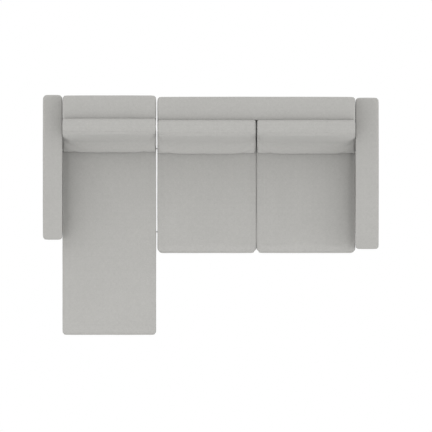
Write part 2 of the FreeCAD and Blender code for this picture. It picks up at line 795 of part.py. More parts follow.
# Cushions
chaise_soft_x0 = chaise.x0 + cushion_clearance
build_seat("chaise", chaise_soft_x0, chaise.x1, chaise, chaise_front_radius)
build_back_cushion("chaise", chaise_soft_x0 + back_cushion_inset, chaise.x1 - chaise_cushion_free_inset, chaise)
seat_split = (two_seat.x0 + two_seat.x1) / 2
two_seat_soft_x1 = two_seat.x1 - cushion_clearance
build_seat("left", two_seat.x0, seat_split - seat_split_gap / 2, two_seat, two_seat_front_radius)
build_seat("right", seat_split + seat_split_gap / 2, two_seat_soft_x1, two_seat, two_seat_front_radius)
build_back_cushion("left", two_seat.x0 + back_cushion_inset, seat_split - back_cushion_gap / 2, two_seat)
build_back_cushion("right", seat_split + back_cushion_gap / 2, two_seat_soft_x1 - back_cushion_inset, two_seat)
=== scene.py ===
import math

import bpy
import numpy as np
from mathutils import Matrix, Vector, noise
from mathutils.kdtree import KDTree


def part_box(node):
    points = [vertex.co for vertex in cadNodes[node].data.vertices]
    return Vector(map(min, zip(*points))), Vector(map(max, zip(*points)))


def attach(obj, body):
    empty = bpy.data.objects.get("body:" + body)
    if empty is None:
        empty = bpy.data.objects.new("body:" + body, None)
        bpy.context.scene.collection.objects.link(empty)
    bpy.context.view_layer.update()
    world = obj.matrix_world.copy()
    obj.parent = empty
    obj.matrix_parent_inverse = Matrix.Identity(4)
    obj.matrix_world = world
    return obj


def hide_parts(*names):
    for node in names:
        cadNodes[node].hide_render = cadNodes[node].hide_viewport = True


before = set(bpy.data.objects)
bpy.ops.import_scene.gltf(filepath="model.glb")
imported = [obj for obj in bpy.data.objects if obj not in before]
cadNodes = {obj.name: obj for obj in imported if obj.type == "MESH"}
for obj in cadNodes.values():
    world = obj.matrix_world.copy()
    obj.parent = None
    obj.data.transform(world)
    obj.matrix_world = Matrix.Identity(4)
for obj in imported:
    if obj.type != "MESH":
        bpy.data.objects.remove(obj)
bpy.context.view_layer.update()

scene = bpy.context.scene

# Shader helpers: a wrapped socket that takes part in sums, and a finish that adds nodes to one material


class Wire:
    def __init__(self, finish, socket):
        self.finish = finish
        self.socket = socket

    def calc(self, operation, *values):
        return self.finish.node("ShaderNodeMath", {"operation": operation}, values)

    def __add__(self, other):
        return self.calc("ADD", self, other)

    def __sub__(self, other):
        return self.calc("SUBTRACT", self, other)

    def __rsub__(self, other):
        return self.calc("SUBTRACT", other, self)

    def __mul__(self, other):
        return self.calc("MULTIPLY", self, other)

    def __truediv__(self, other):
        return self.calc("DIVIDE", self, other)

    def __rtruediv__(self, other):
        return self.calc("DIVIDE", other, self)

    def __pow__(self, other):
        return self.calc("POWER", self, other)

    def __gt__(self, other):
        return self.calc("GREATER_THAN", self, other)

    __radd__ = __add__
    __rmul__ = __mul__


class Finish:
    def __init__(self, name, **constants):
        self.material = bpy.data.materials.new(name)
        self.material.use_nodes = True
        self.tree = self.material.node_tree
        self.shader = self.tree.nodes["Principled BSDF"]
        for socket, value in constants.items():
            self.shader.inputs[socket.replace("_", " ")].default_value = value

    def feed(self, socket, value):
        if isinstance(value, Wire):
            self.tree.links.new(value.socket, socket)
        else:
            socket.default_value = value

    def node(self, kind, settings=None, inputs=(), output=0):
        made = self.tree.nodes.new(kind)
        for key, value in (settings or {}).items():
            if key == "stops":
                ramp = made.color_ramp
                while len(ramp.elements) < len(value):
                    ramp.elements.new(0.5)
                for element, (place, shade) in zip(ramp.elements, value):
                    element.position = place
                    element.color = shade
            else:
                setattr(made, key, value)
        pairs = inputs.items() if isinstance(inputs, dict) else enumerate(inputs)
        sockets = {s.identifier: s for s in made.inputs}
        for key, value in pairs:
            socket = made.inputs[key] if isinstance(key, int) else sockets.get(key) or made.inputs[key]
            self.feed(socket, value)
        outputs = {s.identifier: s for s in made.outputs}
        return Wire(self, made.outputs[output] if isinstance(output, int) else outputs[output])

    def give(self, **inputs):
        for name, value in inputs.items():
            self.feed(self.shader.inputs[name.replace("_", " ")], value)

    def place(self):
        return self.node("ShaderNodeTexCoord", output="Object")

    def parts(self, vector):
        split = self.tree.nodes.new("ShaderNodeSeparateXYZ")
        self.feed(split.inputs[0], vector)
        return [Wire(self, s) for s in split.outputs]

    def joined(self, x, y, z):
        return self.node("ShaderNodeCombineXYZ", {}, (x, y, z))

    def scaled(self, vector, factors):
        return self.node("ShaderNodeVectorMath", {"operation": "MULTIPLY"}, (vector, factors))

    def cloud(self, vector, scale, detail=2.0, roughness=0.5):
        values = {"Vector": vector, "Scale": scale, "Detail": detail, "Roughness": roughness}
        return self.node("ShaderNodeTexNoise", {"noise_dimensions": "3D"}, values)

    def chance(self, x, y):
        return self.node("ShaderNodeTexWhiteNoise", {"noise_dimensions": "2D"},
                         {"Vector": self.joined(x, y, 0.0)}, "Value")

    def blend(self, share, first, second):
        values = {"Factor_Float": share, "A_Color": first, "B_Color": second}
        return self.node("ShaderNodeMix", {"data_type": "RGBA"}, values, "Result_Color")

    def shade(self, colour, factor):
        grey = self.joined(factor, factor, factor)
        return self.node("ShaderNodeVectorMath", {"operation": "MULTIPLY"}, (colour, grey))

    def bump(self, height, distance, strength=1.0):
        values = {"Height": height, "Distance": distance, "Strength": strength}
        self.give(Normal=self.node("ShaderNodeBump", {}, values))


def smoothstep(wire, low, high):
    return wire.finish.node("ShaderNodeMapRange", {"interpolation_type": "SMOOTHSTEP"}, (wire, low, high))


# Finishes

upholsteryLook = {
    "colour": (0.422, 0.417, 0.401, 1.0),
    "yarnPitch": 0.00125,      # metres from one yarn to the next
    "yarnContrast": 0.05,      # from yarn to yarn
    "slubContrast": 0.16,      # melange, along each yarn
    "mottleContrast": 0.045,   # soft patches a few centimetres wide
    "napContrast": 0.03,       # wide changes where the cloth has been sat on
    "wander": 0.0016,
    "relief": 0.00030,
    "sheen": 0.10,
    # painted light: the seats get the same cloth made lighter, standing in for more light falling on them
    "seatPaintedLight": 1.03,          # the seats' cloth beside the rest, set against the photo
    "weltPitch": 0.0011,
}


def wovenCloth(name, look, colour=None):
    f = Finish(name, Roughness=0.93, Specular_IOR_Level=0.22, Sheen_Weight=look["sheen"],
               Sheen_Roughness=0.45)
    tint = colour or look["colour"]
    at = f.place()
    facing = f.node("ShaderNodeTexCoord", output="Normal")
    nx, ny, nz = [f.node("ShaderNodeMath", {"operation": "ABSOLUTE"}, (n,)) for n in f.parts(facing)]
    drift = f.cloud(at, 9.0, 1.0) - 0.5
    x, y, z = [part + drift * look["wander"] for part in f.parts(at)]
    upward = (nz > nx) * (nz > ny)
    sideways = (nx > ny) * (1 - upward)
    u = x * (1 - sideways) + y * sideways
    v = z * (1 - upward) + y * upward
    warp = u / look["yarnPitch"]
    weft = v / look["yarnPitch"]
    waves = [f.node("ShaderNodeMath", {"operation": "SINE"}, (w * math.pi,)) for w in (warp, weft)]
    weave = waves[0] * waves[1]
    over = smoothstep(weave, -0.25, 0.25)
    warpCell = f.node("ShaderNodeMath", {"operation": "FLOOR"}, (warp,))
    weftCell = f.node("ShaderNodeMath", {"operation": "FLOOR"}, (weft,))
    warpShade = f.chance(warpCell, 3.0)
    weftShade = f.chance(weftCell, 7.0)
    yarn = warpShade * over + weftShade * (1 - over)
    slubWarp = f.cloud(f.joined(warpCell * 0.37, v * 55.0, 0.0), 1.0, 1.0)
    slubWeft = f.cloud(f.joined(u * 55.0, weftCell * 0.37, 5.0), 1.0, 1.0)
    slub = slubWarp * over + slubWeft * (1 - over)
    mottle = f.cloud(at, 34.0, 3.0, 0.6)
    nap = f.cloud(at, 3.2, 1.0)
    tone = (1.0 + (yarn - 0.5) * look["yarnContrast"] + (slub - 0.5) * look["slubContrast"] * 2
            + (mottle - 0.5) * look["mottleContrast"] * 2 + (nap - 0.5) * look["napContrast"] * 2)
    f.give(Base_Color=f.shade(tint[:3], tone))
    crown = f.node("ShaderNodeMath", {"operation": "ABSOLUTE"}, (weave,))
    f.bump(crown * 0.7 + slub * 0.5, look["relief"], 0.7)
    return f.material


legLook = {"light": (0.36, 0.235, 0.13, 1.0), "dark": (0.20, 0.115, 0.058, 1.0), "ringScale": 120.0}


def oiledOak(name, look):
    f = Finish(name, Roughness=0.42, Coat_Weight=0.15, Coat_Roughness=0.3)
    at = f.place()
    along = f.scaled(at, (1.0, 1.0, 0.07))
    grain = f.cloud(along, look["ringScale"], 4.0, 0.62)
    pores = f.cloud(f.scaled(at, (1.0, 1.0, 0.03)), 900.0, 2.0, 0.5)
    share = smoothstep(grain, 0.34, 0.68) * 0.75 + smoothstep(pores, 0.5, 0.75) * 0.25
    f.give(Base_Color=f.blend(share, look["light"], look["dark"]), Roughness=0.36 + grain * 0.16)
    f.bump(grain * 0.4 - pores * 0.6, 0.00025, 0.6)
    return f.material


timberLook = {"light": (0.62, 0.47, 0.30, 1.0), "dark": (0.47, 0.32, 0.18, 1.0)}


def sawnTimber(name, look):
    f = Finish(name, Roughness=0.72)
    at = f.place()
    grain = f.cloud(f.scaled(at, (0.12, 1.0, 1.0)), 60.0, 4.0, 0.6)
    saw = f.cloud(f.scaled(at, (1.0, 0.05, 1.0)), 420.0, 1.0, 0.5)
    f.give(Base_Color=f.blend(smoothstep(grain, 0.3, 0.7), look["light"], look["dark"]))
    f.bump(grain * 0.5 + saw * 0.5, 0.0003, 0.6)
    return f.material


feltLook = {"colour": (0.16, 0.16, 0.165, 1.0), "paleness": 1.6, "fibreScale": 620.0, "fleckScale": 210.0}


def needledFelt(name, look):
    f = Finish(name, Roughness=0.96, Specular_IOR_Level=0.15, Sheen_Weight=0.2)
    at = f.place()
    fibres = f.cloud(at, look["fibreScale"], 3.0, 0.7)
    flecks = f.cloud(at, look["fleckScale"], 2.0, 0.6)
    share = smoothstep(flecks, 0.42, 0.66) * 0.5 + fibres * 0.5
    pale = tuple(min(1.0, c * look["paleness"]) for c in look["colour"][:3]) + (1.0,)
    f.give(Base_Color=f.blend(share, look["colour"], pale))
    f.bump(fibres, 0.0005, 0.7)
    return f.material


dustLook = {"colour": (0.035, 0.035, 0.037, 1.0), "dimplePitch": 0.0016, "fibreScale": 500.0}


def spunBond(name, look):
    f = Finish(name, Roughness=0.85, Specular_IOR_Level=0.25)
    x, y, _ = f.parts(f.place())
    waves = [f.node("ShaderNodeMath", {"operation": "SINE"}, (part * (math.pi / look["dimplePitch"]),))
             for part in (x, y)]
    dimple = smoothstep(waves[0] * waves[1], 0.2, 0.7)
    fibres = f.cloud(f.place(), look["fibreScale"], 3.0, 0.6)
    tone = 0.8 + fibres * 0.5 - dimple * 0.25
    f.give(Base_Color=f.shade(look["colour"][:3], tone))
    f.bump(fibres - dimple, 0.00015, 0.8)
    return f.material


webLook = {
    "colour": (0.045, 0.045, 0.05, 1.0),
    "stripe": (0.55, 0.10, 0.05, 1.0),
    "ribPitch": 0.0022,
    "bandPitch": 0.025,
}


def elasticWeb(name, look):
    f = Finish(name, Roughness=0.8, Specular_IOR_Level=0.25)
    x, y, _ = f.parts(f.place())
    ribs = f.node("ShaderNodeMath", {"operation": "SINE"}, ((x + y) * (2 * math.pi / look["ribPitch"]),))
    band = f.node("ShaderNodeMath", {"operation": "SINE"}, ((x - y) * (2 * math.pi / look["bandPitch"]),))
    f.give(Base_Color=f.blend(smoothstep(band, 0.75, 0.85), look["colour"], look["stripe"]))
    f.bump(ribs, 0.0003, 0.6)
    return f.material


zincLook = {
    "light": (0.76, 0.76, 0.74, 1.0),
    "dark": (0.58, 0.59, 0.59, 1.0),
    "spangleScale": 420.0,
    "wearScale": 130.0,
}


def zincSteel(name, look):
    f = Finish(name, Metallic=1.0)
    spangle = f.node("ShaderNodeTexVoronoi", {"feature": "F1"},
                     {"Vector": f.place(), "Scale": look["spangleScale"]}, "Distance")
    wear = f.cloud(f.place(), look["wearScale"], 3.0, 0.6)
    f.give(Base_Color=f.blend(spangle * 0.6 + wear * 0.3, look["light"], look["dark"]),
           Roughness=0.28 + wear * 0.25)
    f.bump(wear, 0.0001, 0.4)
    return f.material


foamLook = {"colour": (0.80, 0.76, 0.62, 1.0), "cellScale": 700.0}


def openFoam(name, look):
    f = Finish(name, Roughness=0.95, Specular_IOR_Level=0.1)
    cellsAndPoreShade = f.node("ShaderNodeTexVoronoi", {"feature": "F1"},
                   {"Vector": f.place(), "Scale": look["cellScale"]}, "Distance")
    # darker toward the middle of each cell: painted shade in the pores; the same cells also set the bump
    f.give(Base_Color=f.shade(look["colour"][:3], 0.75 + cellsAndPoreShade * 0.5))
    f.bump(cellsAndPoreShade, 0.0006, 0.8)
    return f.material


threadLook = {"colour": (0.50, 0.49, 0.46, 1.0), "twistScale": 1400.0}


def sewingThread(name, look):
    f = Finish(name, Roughness=0.7, Specular_IOR_Level=0.4, Sheen_Weight=0.2)
    twist = f.cloud(f.place(), look["twistScale"], 2.0, 0.6)
    f.give(Base_Color=f.shade(look["colour"][:3], 0.8 + twist * 0.4))
    f.bump(twist, 0.0001, 0.6)
    return f.material


cloth = wovenCloth("woven_cloth", upholsteryLook)
# a lighter copy of the cloth for the seats: painted light
seatLitColour = tuple(c * upholsteryLook["seatPaintedLight"] for c in upholsteryLook["colour"])
litSeatCloth = wovenCloth("seat_cloth_painted_light", upholsteryLook, seatLitColour)
weltCloth = wovenCloth("welt_cloth", {**upholsteryLook, "yarnPitch": upholsteryLook["weltPitch"]})
thread = sewingThread("thread", threadLook)
oak = oiledOak("oiled_oak", legLook)
timber = sawnTimber("sawn_timber", timberLook)
felt = needledFelt("needled_felt", feltLook)
dustWeave = spunBond("spun_bond", dustLook)
webWeave = elasticWeb("elastic_web", webLook)
zinc = zincSteel("zinc_steel", zincLook)
foam = openFoam("open_foam", foamLook)
print("finishes made")

# The CAD pieces that stay get their finish through their own slots

keptFinishes = {
    "_leg_bolts": zinc, "_frame_bolts": zinc, "hook_studs": zinc, "keyhole_plates": zinc,
    "_leg_": oak, "_rails": timber, "_blocks": timber, "_frame": timber, "_webbing": webWeave,
    "_padding": foam, "_core": foam,
}
for nodeName, node in cadNodes.items():
    for ending, finish in keptFinishes.items():
        if ending in nodeName:
            for slot in node.material_slots:
                slot.material = finish
            break

# Mesh helpers: every soft piece starts as a block whose surface is an even grid


class Block:
    def __init__(self, low, high, rounds, step, edgeSteps=5):
        self.low = Vector(low)
        self.high = Vector(high)
        axes = []
        for a in range(3):
            r0, r1 = rounds[a]
            start, end = low[a], high[a]
            middle = max(1, round((end - start - r0 - r1) / step))
            first = np.linspace(start, start + r0, edgeSteps + 1)[:-1]
            last = np.linspace(end - r1, end, edgeSteps + 1)[1:]
            axes.append(np.concatenate([first, np.linspace(start + r0, end - r1, middle + 1), last]))
        self.count = [len(a) - 1 for a in axes]
        self.index = {}
        points = []
        nx, ny, nz = self.count
        for i in range(nx + 1):
            for j in range(ny + 1):
                for k in range(nz + 1):
                    if i in (0, nx) or j in (0, ny) or k in (0, nz):
                        self.index[i, j, k] = len(points)
                        points.append((axes[0][i], axes[1][j], axes[2][k]))
        self.box = np.array(points)
        self.points = self.rounded(self.box, rounds)
        self.faces = self.quads()

    def rounded(self, points, rounds):
        inner = points.copy()
        lean = np.zeros_like(points)
        for a in range(3):
            r0, r1 = rounds[a]
            start = self.low[a] + r0
            end = self.high[a] - r1
            inner[:, a] = np.clip(points[:, a], start, end)
            under = points[:, a] < start
            past = points[:, a] > end
            lean[under, a] = (points[under, a] - start) / r0
            lean[past, a] = (points[past, a] - end) / r1
        lean = np.tan(lean * math.pi / 4)
        lean /= np.maximum(np.linalg.norm(lean, axis=1, keepdims=True), 1e-9)
        radius = np.where(lean < 0, [r[0] for r in rounds], [r[1] for r in rounds])
        return inner + lean * radius

    def quads(self):
        faces = []
        for a, b, c in ((0, 1, 2), (1, 2, 0), (2, 0, 1)):
            for side in (0, self.count[a]):
                for p in range(self.count[b]):
                    for q in range(self.count[c]):
                        ring = []
                        for dp, dq in ((0, 0), (1, 0), (1, 1), (0, 1)):
                            key = [0, 0, 0]
                            key[a] = side
                            key[b] = p + dp
                            key[c] = q + dq
                            ring.append(self.index[tuple(key)])
                        faces.append(ring if side else ring[::-1])
        return faces

    def rim(self, a, side):
        # the vertices round one of the block's faces, in order
        b, c = [n for n in range(3) if n != a]
        nb, nc = self.count[b], self.count[c]
        walk = ([(p, 0) for p in range(nb)] + [(nb, q) for q in range(nc)]
                + [(p, nc) for p in range(nb, 0, -1)] + [(0, q) for q in range(nc, 0, -1)])
        found = []
        for p, q in walk:
            key = [0, 0, 0]
            key[a] = self.count[a] if side else 0
            key[b] = p
            key[c] = q
            found.append(self.index[tuple(key)])
        return found

    def roundPlan(self, radii):
        # rounds the upright corners; radii go round from low x and low y by way of high x
        (x0, y0, _), (x1, y1, _) = self.low, self.high
        corners = ((x0, y0, 1, 1), (x1, y0, -1, 1), (x1, y1, -1, -1), (x0, y1, 1, -1))
        for (x, y, towardX, towardY), radius in zip(corners, radii):
            u = 1 - (self.points[:, 0] - x) * towardX / radius
            v = 1 - (self.points[:, 1] - y) * towardY / radius
            near = (u > 0) & (v > 0)
            u, v = u[near], v[near]
            pull = np.maximum(u, v) / np.hypot(u, v)
            self.points[near, 0] = x + towardX * radius * (1 - u * pull)
            self.points[near, 1] = y + towardY * radius * (1 - v * pull)

    def share(self):
        # where each point lies in the box, from -1 to 1 along each axis
        middle = np.array(self.low + self.high) / 2
        half = np.array(self.high - self.low) / 2
        return (self.box - middle) / half

    def mesh(self, name):
        made = bpy.data.meshes.new(name)
        made.from_pydata([tuple(p) for p in self.points], [], self.faces)
        made.update()
        return made


def addObject(name, mesh, material=None):
    made = bpy.data.objects.new(name, mesh)
    scene.collection.objects.link(made)
    if material:
        mesh.materials.clear()
        mesh.materials.append(material)
    return made


def plainMesh(obj):
    # the evaluated object as a mesh of its own, with no modifier left
    bpy.context.view_layer.update()
    graph = bpy.context.evaluated_depsgraph_get()
    made = bpy.data.meshes.new_from_object(obj.evaluated_get(graph))
    return made


def smoothShaded(mesh):
    mesh.polygons.foreach_set("use_smooth", [True] * len(mesh.polygons))
    mesh.update()


def coordinates(mesh):
    flat = np.empty(len(mesh.vertices) * 3)
    mesh.vertices.foreach_get("co", flat)
    return flat.reshape(-1, 3)


def normals(mesh):
    flat = np.empty(len(mesh.vertices) * 3)
    mesh.vertices.foreach_get("normal", flat)
    return flat.reshape(-1, 3)


def setCoordinates(mesh, points):
    mesh.vertices.foreach_set("co", points.reshape(-1))
    mesh.update()


def subdivided(name, mesh, material):
    obj = addObject(name + "_work", mesh)
    finer = obj.modifiers.new("finer", "SUBSURF")
    finer.levels = finer.render_levels = 1
    made = plainMesh(obj)
    bpy.data.objects.remove(obj)
    piece = addObject(name, made, material)
    smoothShaded(made)
    return piece


clothSettings = {
    "pressure": 4.0,
    "slack": -0.012,       # below 0, the cloth is cut a little too large
    "frames": 18,
    "stiffness": 12.0,
    "bending": 0.6,
    "mass": 0.3,
    "quality": 6,
}


def inflate(block, held, cap):
    # blows the cloth up between its seams and caps how far a point may go
    mesh = block.mesh("inflating")
    obj = addObject("inflating", mesh)
    group = obj.vertex_groups.new(name="held")
    group.add([int(v) for v in held], 1.0, "REPLACE")
    soft = obj.modifiers.new("soft", "CLOTH")
    soft.settings.quality = clothSettings["quality"]
    soft.settings.mass = clothSettings["mass"]
    soft.settings.tension_stiffness = clothSettings["stiffness"]
    soft.settings.compression_stiffness = clothSettings["stiffness"]
    soft.settings.bending_stiffness = clothSettings["bending"]
    soft.settings.shrink_min = clothSettings["slack"]
    soft.settings.use_pressure = True
    soft.settings.uniform_pressure_force = clothSettings["pressure"]
    soft.settings.vertex_group_mass = "held"
    soft.settings.pin_stiffness = 1.0
    soft.settings.effector_weights.gravity = 0.0
    soft.collision_settings.use_collision = False
    soft.point_cache.frame_start = 1
    soft.point_cache.frame_end = clothSettings["frames"]
    for step in range(1, clothSettings["frames"] + 1):
        scene.frame_set(step)
    graph = bpy.context.evaluated_depsgraph_get()
    moved = coordinates(obj.evaluated_get(graph).to_mesh())
    scene.frame_set(1)
    bpy.data.objects.remove(obj)
    travel = moved - block.points
    length = np.linalg.norm(travel, axis=1, keepdims=True)
    return block.points + travel * np.minimum(1.0, cap / np.maximum(length, 1e-9))


puckerLook = {
    "gatherScale": 55.0,
    "wideScale": 7.0,
    "wideShare": 0.8,
    "smallScale": 19.0,
    "smallShare": 0.35,
}


def pucker(piece, lines, reach, depth, seed):
    # small gathers that run away from the seams, and soft unevenness over the rest
    look = puckerLook
    mesh = piece.data
    points = coordinates(mesh)
    facing = normals(mesh)
    tree = KDTree(sum(len(line) for line in lines))
    number = 0
    for line in lines:
        for point in line:
            tree.insert(point, number)
            number += 1
    tree.balance()
    shift = Vector((seed * 3.1, seed * 1.7, seed * 2.3))
    moves = np.empty(len(points))
    for n, p in enumerate(points):
        near, _, gap = tree.find(p)
        gather = noise.noise(near * look["gatherScale"] + shift) * math.exp(-gap / reach)
        wide = noise.noise(Vector(p) * look["wideScale"] + shift) * look["wideShare"]
        small = noise.noise(Vector(p) * look["smallScale"] - shift) * look["smallShare"]
        moves[n] = depth * (gather + (wide + small))
    setCoordinates(mesh, points + facing * moves[:, None])


def curveThrough(name, lines, closed):
    made = bpy.data.curves.new(name, "CURVE")
    made.dimensions = "3D"
    for line in lines:
        spline = made.splines.new("POLY")
        spline.points.add(len(line) - 1)
        spline.points.foreach_set("co", [n for p in line for n in (*p, 1.0)])
        spline.use_cyclic_u = closed
    return made


weltSize = {"radius": 0.0021, "sink": 0.0006}


def sewWelt(name, lines, body, closed=True):
    # a fine self-covered cord along each line
    curve = curveThrough(name + "_path", lines, closed)
    curve.bevel_depth = weltSize["radius"]
    curve.bevel_resolution = 2
    curve.use_fill_caps = True
    holder = bpy.data.objects.new(name + "_path", curve)
    scene.collection.objects.link(holder)
    made = plainMesh(holder)
    bpy.data.objects.remove(holder)
    piece = addObject(name, made, weltCloth)
    smoothShaded(made)
    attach(piece, body)
    return piece


def stitchTree():
    # stitches along a curve: pitch, length and thickness are the tree's inputs
    tree = bpy.data.node_groups.new("stitches", "GeometryNodeTree")
    face = tree.interface
    face.new_socket("Geometry", in_out="INPUT", socket_type="NodeSocketGeometry")
    for label, value in (("Pitch", 0.006), ("Length", 0.0042), ("Thickness", 0.0005)):
        face.new_socket(label, in_out="INPUT", socket_type="NodeSocketFloat").default_value = value
    face.new_socket("Finish", in_out="INPUT", socket_type="NodeSocketMaterial")
    face.new_socket("Geometry", in_out="OUTPUT", socket_type="NodeSocketGeometry")
    add = tree.nodes.new
    link = tree.links.new
    start = add("NodeGroupInput")
    end = add("NodeGroupOutput")
    points = add("GeometryNodeCurveToPoints")
    points.mode = "LENGTH"
    link(start.outputs["Geometry"], points.inputs["Curve"])
    link(start.outputs["Pitch"], points.inputs["Length"])
    bead = add("GeometryNodeMeshCylinder")
    bead.inputs["Vertices"].default_value = 6
    link(start.outputs["Thickness"], bead.inputs["Radius"])
    link(start.outputs["Length"], bead.inputs["Depth"])
    placed = add("GeometryNodeInstanceOnPoints")
    link(points.outputs["Points"], placed.inputs["Points"])
    link(bead.outputs["Mesh"], placed.inputs["Instance"])
    link(points.outputs["Rotation"], placed.inputs["Rotation"])
    realize = add("GeometryNodeRealizeInstances")
    link(placed.outputs["Instances"], realize.inputs["Geometry"])
    paint = add("GeometryNodeSetMaterial")
    link(realize.outputs["Geometry"], paint.inputs["Geometry"])
    link(start.outputs["Finish"], paint.inputs["Material"])
    link(paint.outputs["Geometry"], end.inputs["Geometry"])
    return tree


stitches = stitchTree()
stitchSize = {"Pitch": 0.0065, "Length": 0.0044, "Thickness": 0.00055}


def sewStitches(name, lines, body, closed=False, finish=None, sizes=None):
    curve = curveThrough(name + "_path", lines, closed)
    holder = bpy.data.objects.new(name + "_path", curve)
    scene.collection.objects.link(holder)
    sewing = holder.modifiers.new("sewing", "NODES")
    sewing.node_group = stitches
    values = {**(sizes or stitchSize), "Finish": finish or thread}
    for item in stitches.interface.items_tree:
        if item.item_type == "SOCKET" and item.in_out == "INPUT" and item.name in values:
            sewing[item.identifier] = values[item.name]
    made = plainMesh(holder)
    bpy.data.objects.remove(holder)
    piece = addObject(name, made)
    if not made.materials:
        made.materials.append(values["Finish"])
    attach(piece, body)
    return piece


def lifted(mesh, indices, height):
    # points of the mesh at the given vertices, moved out along their normals
    return [mesh.vertices[i].co + mesh.vertices[i].normal * height for i in indices]


print("helpers ready")

# Seat cushions

seatSizes = {
    "step": 0.0125,
    "crown": 0.009,        # how far the middle of the top stands above its seam
    "sidePull": 0.0008,    # how far the sides are drawn in between the corners
    "frontEdge": 0.032,
    "topEdge": 0.024,
    "rearEdge": 0.010,
    "lowEdge": 0.012,
    "rearCorner": 0.020,
    "frontReach": 0.09,    # the upper edges get as soft as the front's over this length
    "cap": 0.007,
    "sideHold": 0.03,      # the filling keeps the sides as they are over this width
    "gather": 0.0009,
    "gatherReach": 0.018,
    "fill": 0.8,
}
frontRounds = {"chaise_seat": 0.022, "left_seat": 0.034, "right_seat": 0.034}
# width and depth of an upper edge beside each kind of neighbour, and how far the filling presses that way
edgeBeside = {"arm": (0.005, 0.004, 0.0012), "gap": (0.007, 0.009, 0.0), "seat": (0.018, 0.007, 0.0015)}
neighbours = {"chaise_seat": ("arm", "gap"), "left_seat": ("gap", "seat"), "right_seat": ("seat", "arm")}


def easeTop(block, depths):
    # makes the upper edges shallower along the sides than along the front
    s = seatSizes
    across = (block.share()[:, 0] + 1) / 2
    depth = depths[0] + (depths[1] - depths[0]) * across
    front = np.clip(1 - (block.box[:, 1] - block.low.y) / s["frontReach"], 0, 1)
    front = front * front * (3 - 2 * front)
    squeeze = 1 - (depth + (s["topEdge"] - depth) * front) / s["topEdge"]
    under = block.high.z - block.points[:, 2]
    fade = np.clip(1 - (under - s["topEdge"]) / (2 * s["topEdge"]), 0, 1)
    block.points[:, 2] += np.where(under < s["topEdge"], under, s["topEdge"] * fade) * squeeze


def keepInside(points, low, high, spare):
    return np.clip(points, np.array(low) - spare, np.array(high) + spare)


def seatCushion(name, seed):
    s = seatSizes
    low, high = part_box(name + "_cover")
    widths, depths, reaches = zip(*[edgeBeside[neighbour] for neighbour in neighbours[name]])
    low.x -= reaches[0]
    high.x += reaches[1]
    rounds = (widths, (s["frontEdge"], s["rearEdge"]), (s["lowEdge"], s["topEdge"]))
    block = Block(low, high, rounds, s["step"])
    easeTop(block, depths)
    block.roundPlan((frontRounds[name],) * 2 + (s["rearCorner"],) * 2)
    share = block.share()
    across = np.clip(1 - share[:, 0] ** 2, 0, 1)
    along = np.clip(1 - share[:, 1] ** 2, 0, 1)
    upper = (share[:, 2] + 1) / 2
    block.points[:, 2] -= s["crown"] * upper * (1 - across * along)
    block.points[:, 0] -= np.sign(share[:, 0]) * s["sidePull"] * along * np.abs(share[:, 0]) ** 8
    block.points[:, 1] -= np.sign(share[:, 1]) * s["sidePull"] * across * np.abs(share[:, 1]) ** 8
    topSeam = block.rim(2, 1)
    lowSeam = block.rim(2, 0)
    bottom = [v for (i, j, k), v in block.index.items() if k == 0]
    blown = inflate(block, set(topSeam) | set(bottom), s["cap"])
    inward = np.minimum(block.points[:, 0] - low.x, high.x - block.points[:, 0])
    loose = 1 - np.exp(-np.square(inward / s["sideHold"]))
    block.points += (blown - block.points) * loose[:, None]
    block.points = keepInside(block.points, low, high, (0.0, 0.0, 0.002))
    mesh = block.mesh(name)
    seamLines = [[Vector(block.points[v]) for v in seam] for seam in (topSeam, lowSeam)]
    piece = subdivided(name, mesh, litSeatCloth)
    pucker(piece, seamLines, s["gatherReach"], s["gather"], seed)
    seams = [lifted(piece.data, seam, -weltSize["sink"]) for seam in (topSeam, lowSeam)]
    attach(piece, name)
    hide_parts(name + "_cover", name + "_core")
    sewWelt(name + "_welt", seams, name)
    return piece


for seed, name in enumerate(frontRounds):
    seatCushion(name, seed + 1)
print("seat cushions made")

# Back cushions

backCushionSizes = {
    "step": 0.0115,
    "ridgeBack": 0.084,     # from the top front edge of the back to the front of the ridge
    "footBack": 0.216,      # the same to the foot of the front
    "belly": 0.008,
    "depth": 0.14,
    "frontEdge": 0.034,
    "rearEdge": 0.044,
    "lowEdge": 0.026,
    "topEdge": 0.040,
    "overhang": 0.007,      # how far the rear bulges over the top edge of the back
    "overhangRise": 0.011,
    "rollHeight": 0.22,     # where the low roll of the front turns in, as a share of the cushion's height
    "rollTurn": 0.09,
    "lean": 0.50,           # the share of the front's lean that is spread over its height
    "cap": 0.008,
    "gather": 0.0010,
    "gatherReach": 0.018,
    "fill": 0.7,
    "liftOff": 0.0008,      # between the rear and the back it leans on
}
backOf = {"chaise_back_cushion": "chaise_back_cover", "left_back_cushion": "two_seat_back_cover",
          "right_back_cushion": "two_seat_back_cover"}
# rounding of each cushion's left and right end, and how far it is pressed that way
backEnds = {
    "chaise_back_cushion": ((0.008, 0.004), (0.007, 0.008)),
    "left_back_cushion": ((0.010, 0.0015), (0.014, 0.0010)),
    "right_back_cushion": ((0.014, 0.0010), (0.008, 0.004)),
}
backSlope = {"topThick": 0.155, "footThick": 0.203, "footHeight": 0.300}


def backFace(backNode, height):
    # y of the leaning front of a back at a height
    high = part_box(backNode)[1]
    share = np.clip((height - backSlope["footHeight"]) / (high.z - backSlope["footHeight"]), 0.0, 1.0)
    return high.y - backSlope["footThick"] + (backSlope["footThick"] - backSlope["topThick"]) * share


def frontLean(rise):
    # 0 at the foot of the front and 1 at its ridge, with most of the way just over the low roll
    s = backCushionSizes
    turn = [np.tanh((r - s["rollHeight"]) / s["rollTurn"]) for r in (rise, 0.0, 1.0)]
    return s["lean"] * rise + (1 - s["lean"]) * (turn[0] - turn[1]) / (turn[2] - turn[1])


